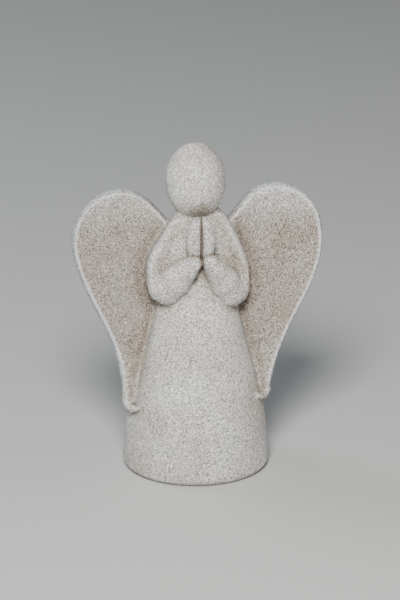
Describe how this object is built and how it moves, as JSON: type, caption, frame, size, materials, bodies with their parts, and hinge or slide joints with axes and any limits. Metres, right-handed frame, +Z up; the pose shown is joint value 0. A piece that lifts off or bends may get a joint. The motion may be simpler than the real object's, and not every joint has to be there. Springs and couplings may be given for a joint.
{
  "type": "garden figurine",
  "caption": "Praying angel figurine in cast stone-look resin: bell-shaped robe, blank egg head, hands pressed together and two broad curved wings.",
  "frame": {"origin": "centre of the round base, on the ground", "axes": "+Z up, the figure faces -Y, its own left side is +X"},
  "size_m": [0.3172, 0.186, 0.43],
  "materials": {
    "stone_resin": "matte stone-filled polyresin, fine speckle, faint brown wash in the recesses",
    "steel": "plain drawn steel",
    "base_board": "matte cast resin, unpainted",
    "plug_rubber": "black rubber, moulded"
  },
  "bodies": {
    "figure": {"robe_shell": "stone_resin", "head": "stone_resin", "left_forearm": "stone_resin", "right_forearm": "stone_resin", "left_hand": "stone_resin", "right_hand": "stone_resin", "left_wing": "stone_resin", "right_wing": "stone_resin", "neck_dowel": "steel", "left_elbow_pin": "steel", "right_elbow_pin": "steel", "left_wing_pins": "steel", "right_wing_pins": "steel", "left_wing_wire": "steel", "right_wing_wire": "steel", "base_plate": "base_board"},
    "plug": {"fill_plug": "plug_rubber"}
  },
  "joints": [
    {"name": "plug_pull", "type": "slide", "parent": "figure", "child": "plug", "axis": [0, 0, -1], "range_m": [0, 0.014]}
  ]
}
